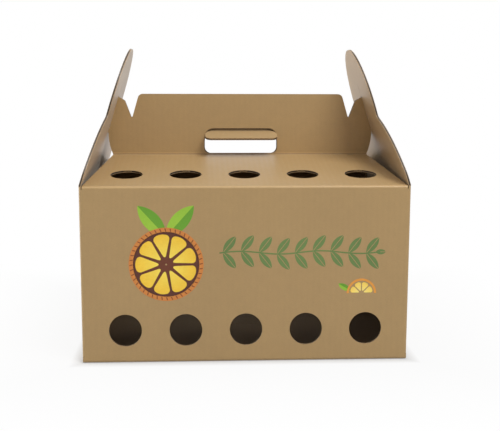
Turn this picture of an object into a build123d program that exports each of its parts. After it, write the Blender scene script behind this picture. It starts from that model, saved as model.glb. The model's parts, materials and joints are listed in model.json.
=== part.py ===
from build123d import *
import os
from math import asin, cos, degrees, radians, sin, sqrt, tan

# A carry carton for fruit: one die-cut sheet of corrugated board, folded and glued, with its two
# end flaps slipped over the handle's ears and a hand-hole tab pushed forward.
# Millimetres. X runs along the box, the front faces -Y, Z is up, the origin is under the middle.

# Board and creases
board = 2.4
crease_radius = 0.5
crease_land = 1.0
leaf_gap = 0.5

# Walls and bottom
box_length = 350.0
box_depth = 285.0
wall_height = 190.0
corner_gap = 0.7
bottom_end_inset = 0.4
bottom_seam = 1.0
minor_flap_length = 140.0
glue_lap_width = 35.0

# Vent holes, one row low on each long wall and one row on each lid panel
vent_count = 5
vent_diameter = 35.0
vent_end_margin = 46.2
wall_vent_height = 35.4
lid_vent_setback = 48.8

# Lid panels and the two handle leaves
lid_slope_deg = 9.0
lid_taper = 19.6
handle_height = 71.4
handle_corner_radius = 6.0
handle_side_bulge = 1.3
front_hole_width = 87.0
front_hole_height = 30.4
front_hole_rise = 0.6
front_hole_top_radius = 11.0
front_hole_low_radius = 7.0
rear_hole_margin = 0.6
rear_hole_top_margin = 2.0
rear_hole_top_radius = 14.0
rear_hole_low_radius = 7.5

# Ears of the handle, with the notch between each ear and the grip
ear_low = 51.5
ear_high = 95.0
ear_reach = 4.0
ear_seat = 0.4
ear_top_run = 7.0
ear_top_drop = 4.0
ear_corner_radius = 4.0
notch_depth = 29.2
notch_inner_run = 8.6
notch_outer_run = 8.0
notch_radius = 1.0

# End flaps, measured up the flap from its crease
flap_lean_deg = 17.4
flap_height = 153.0
flap_inset = 1.0
shoulder_height = 12.0
shoulder_radius = 25.0
shoulder_bulge = 9.5
kink_height = 72.5
kink_radius = 6.0
tongue_radius = 66.0
slot_clearance = 0.8
leaf_clearance = 0.45
slit_length = 14.0
slit_width = 0.8
hinge_gap = 0.25

# Hand-hole tab
tab_gap = 0.5
tab_swing_deg = 72.5

cut_overrun = 5.0

# Places that follow from the sizes above
fold_radius = crease_radius + board
half_length = box_length / 2
half_depth = box_depth / 2
lid_slope = radians(lid_slope_deg)
flap_lean = radians(flap_lean_deg)
leaf_front = -(leaf_gap / 2 + board)
fold_height = wall_height + (half_depth + leaf_front) * tan(lid_slope)
handle_top = fold_height + handle_height
hole_low = fold_height + front_hole_rise
hole_high = hole_low + front_hole_height
tab_margin = rear_hole_margin + tab_gap
tab_top_margin = rear_hole_top_margin + tab_gap
tab_hinge_height = hole_high - tab_top_margin
corner_inset = fold_radius + corner_gap
lid_front_half = half_length - corner_inset
lid_back_half = lid_front_half - lid_taper
lid_run = Vector(cos(lid_slope), sin(lid_slope))
crease_setback = fold_radius * tan((radians(90) - lid_slope) / 2) + crease_land
wall_start = board + fold_radius + crease_land
wall_end = wall_height - crease_setback
vent_pitch = (box_length - 2 * vent_end_margin) / (vent_count - 1)
vent_places = [(i - (vent_count - 1) / 2) * vent_pitch for i in range(vent_count)]


def rounded(face, corner, radius):
    """The face with the corner nearest to a point rounded."""
    return face.fillet_2d(radius, [face.vertices().sort_by_distance(corner)[0]])


def both_sides(edge, corners):
    """The sheet inside an edge line and its mirror image, with the listed corners rounded on both."""
    sheet = make_face(edge + mirror(edge, Plane.YZ)).face()
    for corner, radius in corners:
        sheet = rounded(sheet, corner, radius)
        sheet = rounded(sheet, Vector(-corner.X, corner.Y), radius)
    return Sketch() + sheet


def board_section(outer):
    """The board's section along a line of outer-face points, rounded at each crease."""
    runs = [(b - a).normalized() for a, b in zip(outer, outer[1:])]
    sides = [Vector(run.Y, -run.X) for run in runs]
    inner = [outer[0] + sides[0] * board]
    for i in range(1, len(runs)):
        mitre = sides[i - 1] + sides[i]
        inner.append(outer[i] + mitre * (board / (1 + sides[i - 1].dot(sides[i]))))
    inner.append(outer[-1] + sides[-1] * board)
    section = make_face(Polyline(*outer, *reversed(inner), close=True)).face()
    for i in range(1, len(runs)):
        bends_in = runs[i - 1].cross(runs[i]).Z < 0
        wide, tight = (outer[i], inner[i]) if bends_in else (inner[i], outer[i])
        for corner, radius in ((wide, fold_radius), (tight, crease_radius)):
            section = rounded(section, corner, radius)
    return section


def strip(outer, half_width, plane=Plane.YZ):
    """A folded strip of board, with its section in the plane and the same width all along."""
    return extrude(plane * board_section(outer), amount=half_width, both=True)


def flap_point(up, inward):
    """A point of the right end flap in X and Z: up from its crease, inward from its outer face."""
    x = half_length - up * sin(flap_lean) - inward * cos(flap_lean)
    z = wall_height + up * cos(flap_lean) - inward * sin(flap_lean)
    return Vector(x, z)


def wall_ring():
    """The four walls between their lower and upper creases, with the glue lap in one corner."""
    outside = RectangleRounded(box_length, box_depth, fold_radius)
    inside = RectangleRounded(box_length - 2 * board, box_depth - 2 * board, crease_radius)
    ring_section = outside - inside
    ring = Pos(0, 0, wall_start) * extrude(ring_section, amount=wall_end - wall_start)
    lid_zone = Rectangle(box_length - 2 * fold_radius, box_depth + cut_overrun)
    end_tops = Pos(0, 0, wall_end) * extrude(ring_section - lid_zone, amount=crease_setback)
    lap = Box(board, glue_lap_width, wall_end - wall_start, align=(Align.MAX, Align.MAX, Align.MIN))
    ring += end_tops + Pos(half_length - board, half_depth - board, wall_start) * lap
    for x in vent_places:
        vent = Cylinder(vent_diameter / 2, box_depth + cut_overrun, rotation=(90, 0, 0))
        ring -= Pos(x, 0, wall_vent_height) * vent
    return ring


def minor_flap():
    """The inner bottom flap of the right end wall, with its crease."""
    tip = Vector(half_length - minor_flap_length, board)
    path = [Vector(half_length, wall_start), Vector(half_length, board), tip]
    return strip(path, half_depth - corner_inset, Plane.XZ)


def handle_outline():
    """The outline of a handle leaf, with its grip, two notches and two ears."""
    base = fold_height - fold_radius - crease_land - board
    side_foot = Vector(lid_back_half, fold_height)
    ear_foot = flap_point(ear_low, board + ear_seat)
    ear_head = flap_point(ear_high, board + ear_seat)
    ear_corner = ear_head - Vector(ear_top_run, ear_top_drop)
    notch = Vector(ear_corner.X - notch_outer_run, handle_top - notch_depth)
    grip_corner = Vector(notch.X - notch_inner_run, handle_top)
    edge = Polyline((0, base), (lid_back_half, base), side_foot)
    edge += SagittaArc(side_foot, ear_foot, -handle_side_bulge)
    edge += SagittaArc(ear_foot, ear_head, -(ear_reach + ear_seat + board))
    edge += Polyline(ear_head, ear_corner, notch, grip_corner, (0, handle_top))
    corners = (ear_corner, ear_corner_radius), (notch, notch_radius), (grip_corner, handle_corner_radius)
    return both_sides(edge, corners)


def hand_hole(margin, top_margin, top_radius, low_radius):
    """A hand hole's outline, inside the front leaf's hole by a margin, and by another at its top."""
    half_width = front_hole_width / 2 - margin
    low = hole_low + margin
    high = hole_high - top_margin
    hole = (Pos(0, (low + high) / 2) * Rectangle(2 * half_width, high - low)).face()
    for x in (-half_width, half_width):
        hole = rounded(hole, Vector(x, high), top_radius)
        hole = rounded(hole, Vector(x, low), low_radius)
    return Sketch() + hole


def front_half(hole):
    """The front wall's bottom flap and lid panel with its handle leaf, each from crease to crease."""
    rim = Vector(-half_depth, wall_height)
    ridge = Vector(leaf_front, fold_height)
    lid_start = rim + lid_run * crease_setback
    lid_end = ridge - lid_run * crease_setback
    bottom = [Vector(-bottom_seam / 2, 0), Vector(-half_depth, 0), Vector(-half_depth, wall_start)]
    half = strip(bottom, half_length - bottom_end_inset)
    half += strip([Vector(-half_depth, wall_end), rim, lid_start], lid_front_half)

    lid_plane = Plane((0, lid_start.X, lid_start.Y), x_dir=(1, 0, 0), z_dir=(0, -lid_run.Y, lid_run.X))
    lid_length = (lid_end - lid_start).length
    corners = [(-lid_front_half, 0), (lid_front_half, 0)]
    corners += [(lid_back_half, lid_length), (-lid_back_half, lid_length)]
    panel = make_face(Polyline(*corners, close=True))
    for x in vent_places:
        panel -= Pos(x, lid_vent_setback - crease_setback) * Circle(vent_diameter / 2)
    half += extrude(lid_plane * panel, amount=-board)

    leaf = strip([lid_end, ridge, Vector(leaf_front, handle_top)], half_length)
    outline = handle_outline() - hole
    half += leaf & extrude(Plane.XZ * outline, amount=half_depth, both=True)
    return half


def carton_body():
    """The folded sheet: walls, glued bottom, both lid panels and both handle leaves."""
    front_hole = hand_hole(0, 0, front_hole_top_radius, front_hole_low_radius)
    rear_radii = rear_hole_top_radius, rear_hole_low_radius
    rear_hole = hand_hole(rear_hole_margin, rear_hole_top_margin, *rear_radii)
    front = front_half(front_hole)
    rear = mirror(front_half(rear_hole), Plane.XZ)
    end = minor_flap()
    return wall_ring() + end + mirror(end, Plane.YZ) + front + rear


def end_flap():
    """The right end flap, with round tongue and the slot that holds the handle's ear."""
    base_half = half_depth - flap_inset
    tongue_middle = flap_height - tongue_radius
    kink_half = sqrt(tongue_radius**2 - (kink_height - tongue_middle) ** 2)
    kink_angle = degrees(asin((kink_height - tongue_middle) / tongue_radius))
    foot = -(board * tan(flap_lean) + cut_overrun)
    shoulder = Vector(base_half, shoulder_height)
    kink = Vector(kink_half, kink_height)
    edge = Polyline((0, foot), (base_half, foot), shoulder)
    edge += SagittaArc(shoulder, kink, -shoulder_bulge)
    edge += CenterArc((0, tongue_middle), tongue_radius, kink_angle, 90 - kink_angle)
    sheet = both_sides(edge, ((shoulder, shoulder_radius), (kink, kink_radius)))

    slot_low = ear_low - slot_clearance
    slot_high = ear_high + slot_clearance
    slot_width = 2 * (board + leaf_clearance) + leaf_gap
    slot = Pos(0, (slot_low + slot_high) / 2) * Rectangle(slot_width, slot_high - slot_low)
    slit = Pos(0, slot_high) * Rectangle(slit_width, slit_length, align=(Align.CENTER, Align.MIN))
    outward = (cos(flap_lean), 0, sin(flap_lean))
    outer_face = Plane((half_length, 0, wall_height), x_dir=(0, 1, 0), z_dir=outward)
    flap = extrude(outer_face * (sheet - slot - slit), amount=-board)
    below = extrude(Rectangle(box_length, box_depth + cut_overrun), amount=-wall_height)
    return flap - Pos(half_length, 0, wall_height + hinge_gap) * below


def hand_hole_tab():
    """The tab of the rear leaf's hand hole, swung forward through the front leaf."""
    radii = rear_hole_top_radius - tab_gap, rear_hole_low_radius - tab_gap
    outline = hand_hole(tab_margin, tab_top_margin, *radii)
    flat = extrude(Plane.XZ * outline, amount=-board)
    hinge = Axis((0, leaf_gap / 2, tab_hinge_height), (-1, 0, 0))
    return (Pos(0, leaf_gap / 2, 0) * flat).rotate(hinge, tab_swing_deg)


os.makedirs("parts", exist_ok=True)
right_flap = end_flap()
nodes = {
    "carton_body": carton_body(),
    "right_end_flap": right_flap,
    "left_end_flap": mirror(right_flap, Plane.YZ),
    "hand_hole_tab": hand_hole_tab(),
}
for name, shape in nodes.items():
    export_step(shape, f"parts/{name}.step")
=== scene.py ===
import json
from math import cos, pi, radians, sin, tan

import bmesh
import bpy
from mathutils import Matrix, Vector


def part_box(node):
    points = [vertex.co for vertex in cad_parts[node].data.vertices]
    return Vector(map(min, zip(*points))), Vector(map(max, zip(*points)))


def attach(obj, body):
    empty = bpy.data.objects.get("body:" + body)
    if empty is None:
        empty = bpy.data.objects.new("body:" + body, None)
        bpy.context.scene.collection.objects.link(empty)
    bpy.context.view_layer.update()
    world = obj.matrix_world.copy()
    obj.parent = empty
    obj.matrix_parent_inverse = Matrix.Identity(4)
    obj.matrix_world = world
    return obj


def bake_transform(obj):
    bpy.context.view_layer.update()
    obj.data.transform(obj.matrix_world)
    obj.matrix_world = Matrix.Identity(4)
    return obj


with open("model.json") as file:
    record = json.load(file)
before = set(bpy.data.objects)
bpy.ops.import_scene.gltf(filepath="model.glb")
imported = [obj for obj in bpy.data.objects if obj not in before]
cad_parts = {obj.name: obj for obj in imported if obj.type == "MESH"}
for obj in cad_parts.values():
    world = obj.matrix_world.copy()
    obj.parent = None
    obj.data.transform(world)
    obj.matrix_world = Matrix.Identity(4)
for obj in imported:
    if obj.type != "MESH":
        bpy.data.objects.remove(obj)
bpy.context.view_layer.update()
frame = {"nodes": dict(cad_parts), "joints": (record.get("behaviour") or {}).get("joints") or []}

# Carton body
# One die-cut sheet of single-wall corrugated board, creased, folded and glued at one corner and below.
# Brown kraft paper on both faces, duller inside the box and painted darker there as shade, and a fluted core
# that shows on every cut edge, its gaps painted dark as shade.
mm = 0.001
board = 2.4 * mm
lid_slope = radians(9.0)
lid_half = 171.6 * mm
leaf_face = 2.65 * mm
ridge_reach = 1.3 * mm
fold_reach = 3.5 * mm
# Painted light at the handle-lid ridge: a painted-shade score line on it and a painted highlight band above
# it.
score_shade_half = 0.6 * mm
highlight_band_half = 1.0 * mm
highlight_band_rise = 1.6 * mm
vent_height = 35.4 * mm
vent_zone = 18.5 * mm
seam_slack = 0.3 * mm

half_length, half_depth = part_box("carton_body")[1][:2]
hinges = {joint["name"]: Vector(joint["pos_m"]) for joint in frame["joints"]}
wall_height = hinges["right_flap_fold"].z
ridge_height = wall_height + (half_depth - leaf_face) * tan(lid_slope)
box_middle = Vector((0, 0, wall_height / 2))


def srgb(red, green, blue):
    """A colour given as it looks, in the linear light that shaders use."""
    return (*[((part / 255 + 0.055) / 1.055) ** 2.4 for part in (red, green, blue)], 1.0)


outer_paper = srgb(172, 141, 94)
inner_paper = srgb(173, 144, 101)
# Painted shade: the box's inner paper, darker than the kraft to stand for the dim inside.
shaded_room_paper = srgb(140, 116, 84)
cut_paper = srgb(168, 138, 98)
# Painted shade: the dark of the gaps between the flutes on a cut edge.
flute_gap_shade = srgb(56, 43, 31)


class Field:
    """A number that varies over a surface. Sums written with it become Math nodes."""

    def __init__(self, tree, socket):
        self.tree = tree
        self.socket = socket

    def math(self, operation, *terms):
        node = wired(self.tree, "Math", dict(enumerate((self, *terms))), operation=operation)
        return Field(self.tree, node.outputs[0])

    def __add__(self, other):
        return self.math("ADD", other)

    def __sub__(self, other):
        return self.math("SUBTRACT", other)

    def __rsub__(self, other):
        return self.math("MULTIPLY_ADD", -1.0, other)

    def __mul__(self, other):
        return self.math("MULTIPLY", other)

    def __gt__(self, other):
        return self.math("GREATER_THAN", other)

    def __lt__(self, other):
        return self.math("LESS_THAN", other)

    def __abs__(self):
        return self.math("ABSOLUTE")

    def __and__(self, other):
        return self.math("MULTIPLY", other)

    def __or__(self, other):
        return self.math("MAXIMUM", other)

    def __invert__(self):
        return 1.0 - self

    def chosen(self, where_one, where_zero):
        """One of two numbers, by this field as a mask."""
        node = wired(self.tree, "Mix", {0: self, 2: where_zero, 3: where_one})
        return Field(self.tree, node.outputs[0])


def wired(tree, kind, wires, **settings):
    """A shader node with its settings and inputs; an input is a value, an output socket or a Field."""
    node = tree.nodes.new("ShaderNode" + kind)
    for name, value in settings.items():
        setattr(node, name, value)
    for key, value in wires.items():
        if isinstance(value, Field):
            value = value.socket
        if isinstance(value, bpy.types.NodeSocket):
            tree.links.new(value, node.inputs[key])
        else:
            node.inputs[key].default_value = value
    return node


def two_tone(tree, mask, where_zero, where_one):
    """The colour socket of a mix of two colours by a mask."""
    wires = {0: mask, 6: where_zero, 7: where_one}
    return wired(tree, "Mix", wires, data_type="RGBA").outputs[2]


def scaled(tree, colour, tone):
    """The colour socket of a colour made lighter or darker by a tone."""
    return wired(tree, "VectorMath", {0: colour, "Scale": tone}, operation="SCALE").outputs[0]


def noise(tree, place, waves, detail):
    """Soft noise about zero, with so many waves to the metre."""
    wires = {"Vector": place, "Scale": waves, "Detail": detail}
    return Field(tree, wired(tree, "TexNoise", wires).outputs[0]) - 0.5


def new_group(name, inputs, outputs):
    """An empty shader node group, with its input and output nodes."""
    tree = bpy.data.node_groups.new(name, "ShaderNodeTree")
    for label, kind in inputs.items():
        tree.interface.new_socket(label, in_out="INPUT", socket_type="NodeSocket" + kind)
    for label, kind in outputs.items():
        tree.interface.new_socket(label, in_out="OUTPUT", socket_type="NodeSocket" + kind)
    return tree, tree.nodes.new("NodeGroupInput"), tree.nodes.new("NodeGroupOutput")


sheet_waves, sheet_tone, sheet_height = 11, 0.10, 1.1 * mm
cloud_waves, cloud_tone, cloud_height = 130, 0.10, 0.05 * mm
fibre_waves, fibre_tone, fibre_height = 1500, 0.16, 0.03 * mm
speck_waves, speck_tone, speck_level = 900, 0.12, 0.24
fibre_squeeze = (0.3, 0.3, 1.0)


def paper_group():
    """Liner paper: cloudy tone, fibres that lie level, and a few dark specks. Height is in metres."""
    inputs = {"Place": "Vector", "Paper": "Color"}
    tree, given, made = new_group("liner_paper", inputs, {"Colour": "Color", "Height": "Float"})
    place = given.outputs["Place"]
    level = wired(tree, "VectorMath", {0: place, 1: fibre_squeeze}, operation="MULTIPLY").outputs[0]
    sheet = noise(tree, place, sheet_waves, detail=1.0)
    cloud = noise(tree, place, cloud_waves, detail=3.0)
    fibre = noise(tree, level, fibre_waves, detail=3.0)
    speck = noise(tree, place, speck_waves, detail=1.0) > speck_level
    tone = sheet * sheet_tone + cloud * cloud_tone + fibre * fibre_tone + 1.0 - speck * speck_tone
    tree.links.new(scaled(tree, given.outputs["Paper"], tone), made.inputs["Colour"])
    height = fibre * fibre_height + cloud * cloud_height + sheet * sheet_height
    tree.links.new(height.socket, made.inputs["Height"])
    return tree


# Depths in the core are shares of the board, from its outer face.
flute_pitch = 6.1 * mm
core_depth = 0.44
core_swing = 0.28
core_half = 0.13
hollow_half = 0.31
wave_hollow_tone = 0.8
end_on_limit = 0.95
ragged_waves, ragged_depth, ragged_phase = 700, 0.12, 0.8


def flute_group():
    """The fluted core: Hollow is the gaps on a cut edge, waved where the cut is End on to the flutes and one
    open slit where it runs along them; the material paints them dark as shade. Ridge is the faint ribs on a
    face."""
    inputs = {"Place": "Vector", "Across": "Float", "Depth": "Float", "End on": "Float"}
    tree, given, made = new_group("board_flutes", inputs, {"Hollow": "Float", "Ridge": "Float"})
    across, depth, end_on = [Field(tree, given.outputs[label]) for label in ("Across", "Depth", "End on")]
    ragged = noise(tree, given.outputs["Place"], ragged_waves, detail=2.0)
    off_middle = depth + ragged * ragged_depth - core_depth
    wave = (across * (2 * pi / flute_pitch) + ragged * ragged_phase).math("SINE")
    off_core = off_middle - wave * core_swing
    wave_hollow = (abs(off_core) > core_half) * wave_hollow_tone
    hollow = (abs(off_middle) < hollow_half) & (wave_hollow | (end_on < end_on_limit))
    tree.links.new(hollow.socket, made.inputs["Hollow"])
    tree.links.new(wave.socket, made.inputs["Ridge"])
    return tree


liner_paper = paper_group()
board_flutes = flute_group()
rib_tone = 0.007
rib_height = 0.014 * mm
rib_roughness = 0.02
# Tone of the painted highlight and painted shade at creases.
crease_shading_tone = 0.12
hollow_drop = 0.5 * mm
board_roughness = 0.42
board_sheen = 0.15
board_sheen_roughness = 0.4


def new_material(name):
    """An empty material, with its node tree and its shader."""
    material = bpy.data.materials.new(name)
    material.use_nodes = True
    return material, material.node_tree, material.node_tree.nodes["Principled BSDF"]


def raised(tree, height):
    """The normal socket of a surface raised by a height in metres."""
    return wired(tree, "Bump", {"Height": height, "Distance": 1.0, "Strength": 1.0}).outputs[0]


def board_material(name, layout, inner_colour, inner_dullness):
    """Corrugated board. The layout gives, from place and normal, the way across the flutes, the depth
    from the outer face as a share of the board, how far a cut is end on to the flutes, masks for cut
    edges and for the inner paper, and the painted highlight (above zero) or painted shade (below zero) at a
    crease."""
    material, tree, shader = new_material(name)
    coordinates = tree.nodes.new("ShaderNodeTexCoord")
    place = coordinates.outputs["Object"]
    sides = [wired(tree, "SeparateXYZ", {0: coordinates.outputs[label]}) for label in ("Object", "Normal")]
    spot, facing = [[Field(tree, output) for output in split.outputs] for split in sides]
    across, depth, end_on, cut, inside, crease = layout(spot, facing)

    outer, inner = [
        wired(tree, "Group", {"Place": place, "Paper": colour}, node_tree=liner_paper)
        for colour in (outer_paper, inner_colour)
    ]
    flute_wires = {"Place": place, "Across": across, "Depth": depth, "End on": end_on}
    flutes = wired(tree, "Group", flute_wires, node_tree=board_flutes)
    hollow, ridge = [Field(tree, flutes.outputs[label]) for label in ("Hollow", "Ridge")]

    liner = two_tone(tree, inside, outer.outputs["Colour"], inner.outputs["Colour"])
    # Painted highlight and painted shade at creases lighten or darken the liner here.
    liner = scaled(tree, liner, ridge * rib_tone + crease * crease_shading_tone + 1.0)
    # The core's gaps are painted dark as shade.
    core = two_tone(tree, hollow, cut_paper, flute_gap_shade)
    tree.links.new(two_tone(tree, cut, liner, core), shader.inputs["Base Color"])
    height = Field(tree, outer.outputs["Height"]) + ridge * rib_height - (hollow & cut) * hollow_drop
    tree.links.new(raised(tree, height), shader.inputs["Normal"])
    roughness = ridge * rib_roughness + inside * inner_dullness + board_roughness
    tree.links.new(roughness.socket, shader.inputs["Roughness"])
    shader.inputs["Sheen Weight"].default_value = board_sheen
    shader.inputs["Sheen Roughness"].default_value = board_sheen_roughness
    return material


def cover(node, material):
    """Gives a node of the carton its material."""
    slots = frame["nodes"][node].data.materials
    slots.clear()
    slots.append(material)


# A face counts as turned to a side when its normal has this share that way.
turned_share = 0.5
round_share = 0.2
# Strengths of the painted highlight band above the ridge and the painted shade along its score line.
highlight_band_strength = 1.5
score_shade_strength = 2.5
room_dullness = 0.3


def faces_in(spot, facing):
    """Mask of the faces that look towards the middle of the box."""
    outward = spot[0] * facing[0] + spot[1] * facing[1] + (spot[2] - box_middle.z) * facing[2]
    return outward < 0.0


def body_layout(spot, facing):
    """The layout of the folded sheet: handle leaves, lid panels, walls and bottom."""
    x, y, z = spot
    far_x, far_y = abs(x), abs(y)
    steep_x, steep_y, steep_z = [abs(part) for part in facing]
    under_lid = (half_depth - far_y) * tan(lid_slope) + wall_height - z
    at_rim = z > wall_height - fold_reach
    leaf = z > ridge_height + ridge_reach
    lid = (under_lid < board + seam_slack) & (far_x < lid_half) & (far_y < half_depth - fold_reach) & ~leaf
    end_wall = (far_x > half_length - board - seam_slack) & ~leaf & ~lid
    fold_end = at_rim & ~leaf & ~lid & ~end_wall
    vent = (abs(z - vent_height) < vent_zone) & (far_x < half_length - vent_zone)

    depth = lid.chosen(under_lid * (cos(lid_slope) / board), (half_depth - far_y) * (1 / board))
    depth = leaf.chosen((leaf_face - far_y) * (1 / board), depth)
    depth = end_wall.chosen((half_length - far_x) * (1 / board), depth)
    across = end_wall.chosen(y, x)
    end_on = lid.chosen(steep_y, steep_z)
    cut = ((leaf | vent) & (steep_y < turned_share)) | (lid & (steep_z < turned_share))
    cut = cut | (end_wall & (facing[2] > turned_share)) | (fold_end & (steep_x > turned_share))
    # Painted highlight on the rounded folds at the rim and in a band above the ridge; painted shade on the
    # ridge's score line.
    fold_highlight = (steep_y > round_share) & (steep_z > round_share) & at_rim
    at_ridge = abs(far_y - leaf_face) < ridge_reach
    highlight_band = at_ridge & (abs(z - ridge_height - highlight_band_rise) < highlight_band_half)
    score_shade = at_ridge & (abs(z - ridge_height) < score_shade_half)
    crease = fold_highlight + highlight_band * highlight_band_strength - score_shade * score_shade_strength
    return across, depth, end_on, cut, faces_in(spot, facing), crease


# The inside of the box is painted darker as shade.
cover("carton_body", board_material("body_board", body_layout, shaded_room_paper, room_dullness))

# End flaps
# The two end walls' top flaps, cut with a round tongue and a slot, leaning in over the handle's ears.
# Same board as the body, with the paler and smoother inner paper towards the handle.
flap_lean = radians(17.4)
flap_sides = {"left": -1, "right": 1}
flap_dullness = -0.02


def along(fields, way):
    """How far a place or a normal reaches along a way."""
    return fields[0] * way.x + fields[1] * way.y + fields[2] * way.z


def sheet_layout(across_axis, outward, flute_way, hinge, hinge_depth):
    """The layout of a flat flap: the axis across its flutes, the ways that its outer paper looks and its
    flutes run, a point on its hinge line, and how deep in the board that line lies."""

    def layout(spot, facing):
        looks_out = along(facing, outward)
        depth = (along(spot, outward) - hinge.dot(outward)) * (-1 / board) + hinge_depth
        end_on = abs(along(facing, flute_way))
        # Flat flaps and the tab get no painted crease highlight or shade.
        no_crease_shading = 0.0
        return spot[across_axis], depth, end_on, abs(looks_out) < turned_share, looks_out < 0.0, no_crease_shading

    return layout


def flap_ways(side):
    """The outward and the upward way of the end flap on one side."""
    outward = Vector((side * cos(flap_lean), 0, sin(flap_lean)))
    upward = Vector((-side * sin(flap_lean), 0, cos(flap_lean)))
    return outward, upward


for word, side in flap_sides.items():
    flap_layout = sheet_layout(1, *flap_ways(side), hinges[word + "_flap_fold"], hinge_depth=0.0)
    flap_board = board_material(word + "_flap_board", flap_layout, inner_paper, flap_dullness)
    cover(word + "_end_flap", flap_board)

# Hand-hole tab
# The flap of board that the rear leaf's hand hole leaves, pushed forward through the front leaf's hole.
# It hangs on its top crease, with its inner paper upward and its fluted edge to the front.
tab_swing = radians(72.5)
tab_hinge = hinges["tab_fold"]
tab_out = Vector((0, cos(tab_swing), -sin(tab_swing)))
tab_down = Vector((0, -sin(tab_swing), -cos(tab_swing)))
tab_layout = sheet_layout(0, tab_out, tab_down, tab_hinge, hinge_depth=1.0)
tab_board = board_material("tab_board", tab_layout, inner_paper, flap_dullness)
cover("hand_hole_tab", tab_board)

# Flap and tab creases
# The scored lines where the flaps and the tab bend on the sheet they were cut from, papers unbroken.
# Each is the board's own section round its crease.
crease_skin = 0.05 * mm
flap_crease_half = 138.5 * mm
flap_crease_end = 4 * mm
flap_crease_reach = 1.2 * mm
flap_crease_steps = 3
tab_crease_half = 35 * mm
tab_crease_root = 0.7 * mm
tab_crease_steps = 8


def new_piece(name, shape, material):
    """Makes a finished shape an object of its own, at the origin, in one material."""
    piece = bpy.data.objects.new(name, bpy.data.meshes.new(name))
    shape.to_mesh(piece.data)
    shape.free()
    piece.data.materials.append(material)
    bpy.context.scene.collection.objects.link(piece)
    return piece


def drawn_out(shape, faces, run):
    """Makes flat faces a closed solid, drawn out along a run."""
    drawn = bmesh.ops.extrude_face_region(shape, geom=faces)["geom"]
    far_side = [part for part in drawn if isinstance(part, bmesh.types.BMVert)]
    bmesh.ops.translate(shape, vec=run, verts=far_side)


def crease_strip(name, section, half_width, material):
    """A strip of board with its section in one plane and the same width to both sides of it."""
    shape = bmesh.new()
    end = shape.faces.new([shape.verts.new(point - half_width) for point in section])
    drawn_out(shape, [end], 2 * half_width)
    bmesh.ops.recalc_face_normals(shape, faces=shape.faces)
    return new_piece(name, shape, material)


bend_rows = range(-flap_crease_steps, flap_crease_steps + 1)
bend_heights = [flap_crease_reach * row / flap_crease_steps for row in bend_rows]
for word, side in flap_sides.items():
    crease_line = hinges[word + "_flap_fold"]
    wall_out, wall_up = Vector((side, 0, 0)), Vector((0, 0, 1))
    flap_out, flap_up = flap_ways(side)
    outer_row, inner_row = [], []
    for height in (-flap_crease_end, *bend_heights, flap_crease_end):
        out, up = (flap_out, flap_up) if height > 0 else (wall_out, wall_up)
        if height == 0:
            out = (wall_out + flap_out).normalized()
        spot = crease_line + up * height
        outer_row.append(spot + out * crease_skin)
        inner_row.append(spot - out * (board + crease_skin))
    section = outer_row + inner_row[::-1]
    flap_board = frame["nodes"][word + "_end_flap"].data.materials[0]
    crease = crease_strip(word + "_flap_crease", section, Vector((0, flap_crease_half, 0)), flap_board)
    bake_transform(crease)

bend = []
for step in range(tab_crease_steps + 1):
    turn = tab_swing * step / tab_crease_steps
    bend.append(tab_hinge + Vector((0, cos(turn), -sin(turn))) * (board + crease_skin))
root = Vector((0, 0, tab_crease_root))
section = [tab_hinge, tab_hinge + root, bend[0] + root, *bend]
crease = crease_strip("tab_crease", section, Vector((tab_crease_half, 0, 0)), tab_board)
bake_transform(crease)

# Printed front
# Flexo inks on the front wall: a fruit wheel with two leaves, a long leafy sprig and a small fruit slice.
# Each ink is a thin film on the kraft paper, blotchy where the paper took it unevenly.
ink_film = 0.06 * mm
ink_root = 0.03 * mm
ink_roughness = 0.46
blotch_waves, blotch_tone, blotch_roughness = 240, 0.25, 0.1
wheel_middle = Vector((-84.7 * mm, 107 * mm))
wheel_radius = 39.5 * mm
sprig_middle = Vector((57.5 * mm, 119 * mm))
sprig_half = 86 * mm
slice_middle = Vector((124 * mm, 74 * mm))
slice_radius = 16 * mm


def ink_material(name, colour, rim_colour, middle, radius):
    """Ink on kraft: one colour that turns to another from a middle on the wall out to a radius."""
    material, tree, shader = new_material(name)
    place = wired(tree, "TexCoord", {}).outputs["Object"]
    split = wired(tree, "SeparateXYZ", {0: place})
    x, z = Field(tree, split.outputs[0]) - middle.x, Field(tree, split.outputs[2]) - middle.y
    away = (x * x + z * z).math("SQRT") * (1 / radius)
    blotch = noise(tree, place, blotch_waves, detail=3.0)
    shade = two_tone(tree, away + blotch * blotch_tone, srgb(*colour), srgb(*rim_colour))
    paper = wired(tree, "Group", {"Place": place, "Paper": shade}, node_tree=liner_paper)
    tree.links.new(paper.outputs["Colour"], shader.inputs["Base Color"])
    tree.links.new(raised(tree, paper.outputs["Height"]), shader.inputs["Normal"])
    tree.links.new((blotch * blotch_roughness + ink_roughness).socket, shader.inputs["Roughness"])
    return material


def printed(name, shape, middle, ink, layer=1):
    """Puts a flat shape on the front wall as a film of ink; higher layers lie over lower ones."""
    bmesh.ops.recalc_face_normals(shape, faces=shape.faces)
    drawn_out(shape, shape.faces[:], (0, 0, ink_root + layer * ink_film))
    wall_spot = Matrix.Translation((middle.x, ink_root - half_depth, middle.y))
    bmesh.ops.transform(shape, matrix=wall_spot @ Matrix.Rotation(pi / 2, 4, "X"), verts=shape.verts)
    bmesh.ops.recalc_face_normals(shape, faces=shape.faces)
    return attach(new_piece(name, shape, ink), "carton")


def stamped(sheet, shape, place):
    """Adds a flat shape to a sheet of flat shapes, moved to its place."""
    shape.transform(place)
    stamp = bpy.data.meshes.new("stamp")
    shape.to_mesh(stamp)
    shape.free()
    sheet.from_mesh(stamp)
    bpy.data.meshes.remove(stamp)


def turned(angle, x, y):
    """A place on a flat sheet: turned by an angle, then moved."""
    return Matrix.Translation((x, y, 0)) @ Matrix.Rotation(angle, 4, "Z")


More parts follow.
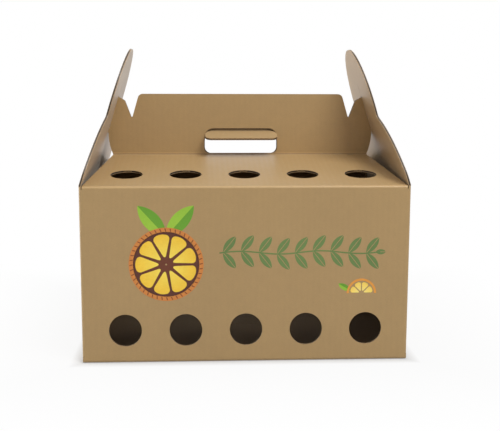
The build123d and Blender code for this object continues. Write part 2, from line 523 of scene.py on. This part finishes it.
def upper_part(shape, level, slack=0.0):
    """Cuts off the part of a flat shape below a level; points within the slack count as on the level."""
    everything = shape.verts[:] + shape.edges[:] + shape.faces[:]
    above = {"plane_co": (0, level, 0), "plane_no": (0, 1, 0), "clear_inner": True}
    bmesh.ops.bisect_plane(shape, geom=everything, dist=slack, **above)


def leaf_half(length, half_width, side, rib=0.0):
    """One half of a pointed leaf along X from the origin, above the rib (side 1) or below it (side -1)."""
    radius = (length**2 / 4 + half_width**2) / (2 * half_width)
    shape = bmesh.new()
    middle = Matrix.Translation((length / 2, half_width - radius, 0))
    bmesh.ops.create_circle(shape, cap_ends=True, segments=240, radius=radius, matrix=middle)
    upper_part(shape, rib)
    bmesh.ops.scale(shape, vec=(1, side, 1), verts=shape.verts)
    return shape


def printed_leaves(prefix, middle, length, half_width, places):
    """Leaves in two greens, the half above the rib in the light one and the half below in the deep one."""
    for green, side in ((leaf_light, 1), (leaf_deep, -1)):
        leaves = bmesh.new()
        for place in places:
            stamped(leaves, leaf_half(length, half_width, side), place)
        printed(prefix + green.name, leaves, middle, green)


def ring(outer, inner):
    """A flat ring between two radii."""
    shape = bmesh.new()
    for radius in (outer, inner):
        bmesh.ops.create_circle(shape, segments=96, radius=radius)
    bmesh.ops.bridge_loops(shape, edges=shape.edges[:])
    return shape


def repeated_round(shape, count, arc):
    """Repeats a flat shape evenly round the origin, so many times in an arc."""
    turns = count - 1
    spin = {"axis": (0, 0, 1), "angle": arc * turns / count, "steps": turns, "use_duplicate": True}
    bmesh.ops.spin(shape, geom=shape.faces[:], **spin)


def fruit_segments(inner, outer, gap, count, arc):
    """Round-cornered fruit segments between two radii, evenly round an arc that starts at the X axis."""
    shape = bmesh.new()
    middle = arc / count / 2
    half = middle - gap / (2 * outer)
    bulge_share = 1.06
    outline = [(inner, 0), (outer, -half), (outer * bulge_share, 0), (outer, half)]
    points = [(radius * cos(middle + turn), radius * sin(middle + turn), 0) for radius, turn in outline]
    shape.faces.new([shape.verts.new(point) for point in points])
    corner = {"affect": "VERTICES", "offset": 2 * gap, "segments": 5, "profile": 0.5, "material": -1}
    bmesh.ops.bevel(shape, geom=shape.verts[:], **corner)
    repeated_round(shape, count, arc)
    return shape


rim_orange = ink_material("rim_orange", (232, 168, 84), (208, 128, 56), wheel_middle, wheel_radius)
stitch_brown = ink_material("stitch_brown", (150, 82, 34), (136, 72, 30), wheel_middle, wheel_radius)
ground_brown = ink_material("ground_brown", (104, 48, 20), (76, 32, 16), wheel_middle, wheel_radius)
fruit_yellow = ink_material("fruit_yellow", (255, 232, 96), (246, 192, 40), wheel_middle, wheel_radius)
slice_yellow = ink_material("slice_yellow", (255, 236, 140), (248, 202, 64), slice_middle, slice_radius)
slice_orange = ink_material("slice_orange", (240, 180, 80), (226, 150, 60), slice_middle, slice_radius)
leaf_light = ink_material("leaf_light", (168, 205, 64), (142, 190, 52), wheel_middle, 2 * wheel_radius)
leaf_deep = ink_material("leaf_deep", (110, 168, 40), (98, 152, 38), wheel_middle, 2 * wheel_radius)
sprig_green = ink_material("sprig_green", (106, 132, 72), (98, 124, 66), sprig_middle, sprig_half)

wheel_leaf_length, wheel_leaf_half, wheel_leaf_foot = 44 * mm, 9 * mm, 30 * mm
wheel_leaf_leans = (radians(48), radians(132))
wheel_leaf_places = [turned(lean, 0, wheel_leaf_foot) for lean in wheel_leaf_leans]
printed_leaves("", wheel_middle, wheel_leaf_length, wheel_leaf_half, wheel_leaf_places)

ground_outer, ground_inner = 35 * mm, 1 * mm
printed("wheel_ground", ring(ground_outer, ground_inner), wheel_middle, ground_brown, layer=2)
rim_inner = 34.6 * mm
printed("wheel_rim", ring(wheel_radius, rim_inner), wheel_middle, rim_orange, layer=2)
wheel_core, wheel_flesh, wheel_gap, wheel_count = 5.5 * mm, 31.5 * mm, 2.2 * mm, 9
wheel_segments = fruit_segments(wheel_core, wheel_flesh, wheel_gap, wheel_count, arc=2 * pi)
printed("wheel_segments", wheel_segments, wheel_middle, fruit_yellow, layer=3)

stitch_count = 44
stitch_inner, stitch_outer = 35.4 * mm, 38.7 * mm
stitch_low, stitch_high, stitch_lean = -0.5 * mm, 0.6 * mm, 0.9 * mm
stitch = [(stitch_inner, stitch_low), (stitch_outer, stitch_low + stitch_lean)]
stitch += [(stitch_outer, stitch_high + stitch_lean), (stitch_inner, stitch_high)]
stitches = bmesh.new()
stitches.faces.new([stitches.verts.new((x, y, 0)) for x, y in stitch])
repeated_round(stitches, stitch_count, 2 * pi)
printed("wheel_stitches", stitches, wheel_middle, stitch_brown, layer=3)

stem_half_width = 0.7 * mm
stem_swing = 1.6 * mm
sprig_rib = 0.35 * mm
sprig_pairs = 9
sprig_pair_shift = 4 * mm
sprig_leaf_lean = radians(52)
sprig_leaf_length, sprig_leaf_half = 22 * mm, 4.4 * mm
tip_leaf_length, tip_leaf_half, tip_leaf_setback = 11 * mm, 2.8 * mm, 5 * mm


def stem_height(x):
    """How far the sprig's wavy stem rises from its middle line."""
    return stem_swing * sin(x / sprig_half * 2 * pi)


stem = bmesh.new()
bmesh.ops.create_grid(stem, x_segments=64, y_segments=1, size=1.0)
bmesh.ops.scale(stem, vec=(sprig_half, stem_half_width, 1), verts=stem.verts)
for vert in stem.verts:
    vert.co.y += stem_height(vert.co.x)
printed("sprig_stem", stem, sprig_middle, sprig_green, layer=2)
sprig = bmesh.new()
for pair in range(sprig_pairs):
    stem_x = (2 * pair / sprig_pairs - 1) * sprig_half + sprig_pair_shift
    for lean in (sprig_leaf_lean, -sprig_leaf_lean):
        for side in (1, -1):
            leaf = leaf_half(sprig_leaf_length, sprig_leaf_half, side, sprig_rib)
            stamped(sprig, leaf, turned(lean, stem_x, stem_height(stem_x)))
for side in (1, -1):
    tip_leaf = leaf_half(tip_leaf_length, tip_leaf_half, side, sprig_rib)
    stamped(sprig, tip_leaf, turned(0, sprig_half - tip_leaf_setback, 0))
printed("sprig_leaves", sprig, sprig_middle, sprig_green)

rind_inner = 13.6 * mm
rind = ring(slice_radius, rind_inner)
upper_part(rind, level=0, slack=ink_film)
printed("slice_rind", rind, slice_middle, slice_orange, layer=2)
slice_core, slice_flesh, slice_gap, slice_count = 1.6 * mm, 12 * mm, 1.1 * mm, 4
slice_segments = fruit_segments(slice_core, slice_flesh, slice_gap, slice_count, arc=pi)
printed("slice_segments", slice_segments, slice_middle, slice_yellow, layer=2)
slice_leaf_length, slice_leaf_half = 15 * mm, 3.2 * mm
slice_leaf_lean, slice_leaf_x, slice_leaf_y = radians(150), -12 * mm, 3 * mm
slice_leaf_place = turned(slice_leaf_lean, slice_leaf_x, slice_leaf_y)
printed_leaves("slice_", slice_middle, slice_leaf_length, slice_leaf_half, [slice_leaf_place])

# Floor, light and camera
# A pale floor that fades to white away from the box and stays greyer next to it, painted shade round its
# foot on top of its real shadow. Soft lights from the front right, above and the left, and a white sky that
# is brighter behind. The camera stands about a metre in front, just above the handle's height.
camera_place = (-0.0460, -1.0820, 0.3014)
camera_yaw = radians(3.04)
camera_pitch = radians(8.61)
camera_roll = radians(0.16)
camera_lens = 65.0
sky_colour = (1.0, 1.0, 1.0, 1.0)
sky_strength = 0.33
sky_behind = 0.40
white_strength = 1.0
lamps = {
    "key_light": {"place": Vector((1.15, -1.62, 2.80)), "size": 1.6, "power": 77.0},
    "top_light": {"place": Vector((-0.2, -0.4, 1.8)), "size": 1.1, "power": 4.0},
    "fill_light": {"place": Vector((-1.7, 0.2, 0.4)), "size": 0.9, "power": 21.0},
}
floor_size = 12.0
floor_drop = 0.2 * mm
floor_grey = (0.6, 0.6, 0.6, 1.0)
near_reach, far_reach = 14 * mm, 0.22
whiteness_at_box, whiteness_near, whiteness_far = 0.3, 0.9, 1.0

scene = bpy.context.scene
scene.view_settings.view_transform = "Standard"
camera = bpy.data.objects.new("camera", bpy.data.cameras.new("camera"))
aim = Matrix.Rotation(-camera_yaw, 4, "Z") @ Matrix.Rotation(pi / 2 - camera_pitch, 4, "X")
camera.matrix_world = Matrix.Translation(camera_place) @ aim @ Matrix.Rotation(camera_roll, 4, "Z")
camera.data.lens = camera_lens
scene.collection.objects.link(camera)
scene.camera = camera

for name, lamp in lamps.items():
    light = bpy.data.objects.new(name, bpy.data.lights.new(name, "AREA"))
    light.data.size = lamp["size"]
    light.data.energy = lamp["power"]
    light.location = lamp["place"]
    light.rotation_euler = (box_middle - lamp["place"]).to_track_quat("-Z", "Y").to_euler()
    scene.collection.objects.link(light)


def seen_directly(tree):
    """Mask of rays that show a surface or the sky itself, straight on or through a reflection."""
    path = wired(tree, "LightPath", {})
    rays = [Field(tree, path.outputs[f"Is {kind} Ray"]) for kind in ("Camera", "Glossy", "Transmission")]
    return rays[0] | rays[1] | rays[2]


world = bpy.data.worlds.new("studio")
world.use_nodes = True
sky_tree = world.node_tree
sky = sky_tree.nodes["Background"]
sky.inputs["Color"].default_value = sky_colour
sky_way = wired(sky_tree, "TexCoord", {}).outputs["Generated"]
towards_back = Field(sky_tree, wired(sky_tree, "SeparateXYZ", {0: sky_way}).outputs[1]) | 0.0
sky_level = seen_directly(sky_tree).chosen(white_strength, towards_back * sky_behind + sky_strength)
sky_tree.links.new(sky_level.socket, sky.inputs["Strength"])
scene.world = world

floor_paint = bpy.data.materials.new("floor_paint")
floor_paint.use_nodes = True
floor_tree = floor_paint.node_tree
floor_spot = wired(floor_tree, "TexCoord", {}).outputs["Object"]
floor_split = wired(floor_tree, "SeparateXYZ", {0: floor_spot})
floor_x, floor_y = [abs(Field(floor_tree, output)) for output in floor_split.outputs[:2]]
from_box = (floor_x - half_length) | (floor_y - half_depth)
# Painted shade: the white glow is held back near the box, so the floor is greyer round its foot whatever the
# light, over the real shadow on the matte grey.
near_fade = {0: from_box, 1: 0.0, 2: near_reach, 3: whiteness_at_box, 4: whiteness_near}
far_fade = {0: from_box, 1: near_reach, 2: far_reach, 3: 0.0, 4: whiteness_far - whiteness_near}
near, far = [
    Field(floor_tree, wired(floor_tree, "MapRange", fade).outputs[0]) for fade in (near_fade, far_fade)
]
matte = wired(floor_tree, "BsdfDiffuse", {"Color": floor_grey})
white = wired(floor_tree, "Emission", {"Strength": white_strength})
shown = wired(floor_tree, "MixShader", {0: (near + far) & seen_directly(floor_tree)})
floor_tree.links.new(matte.outputs[0], shown.inputs[1])
floor_tree.links.new(white.outputs[0], shown.inputs[2])
floor_tree.links.new(shown.outputs[0], floor_tree.nodes["Material Output"].inputs["Surface"])

floor_mesh = bmesh.new()
bmesh.ops.create_grid(floor_mesh, x_segments=1, y_segments=1, size=floor_size)
bmesh.ops.translate(floor_mesh, vec=(0, 0, -floor_drop), verts=floor_mesh.verts)
floor = new_piece("floor", floor_mesh, floor_paint)
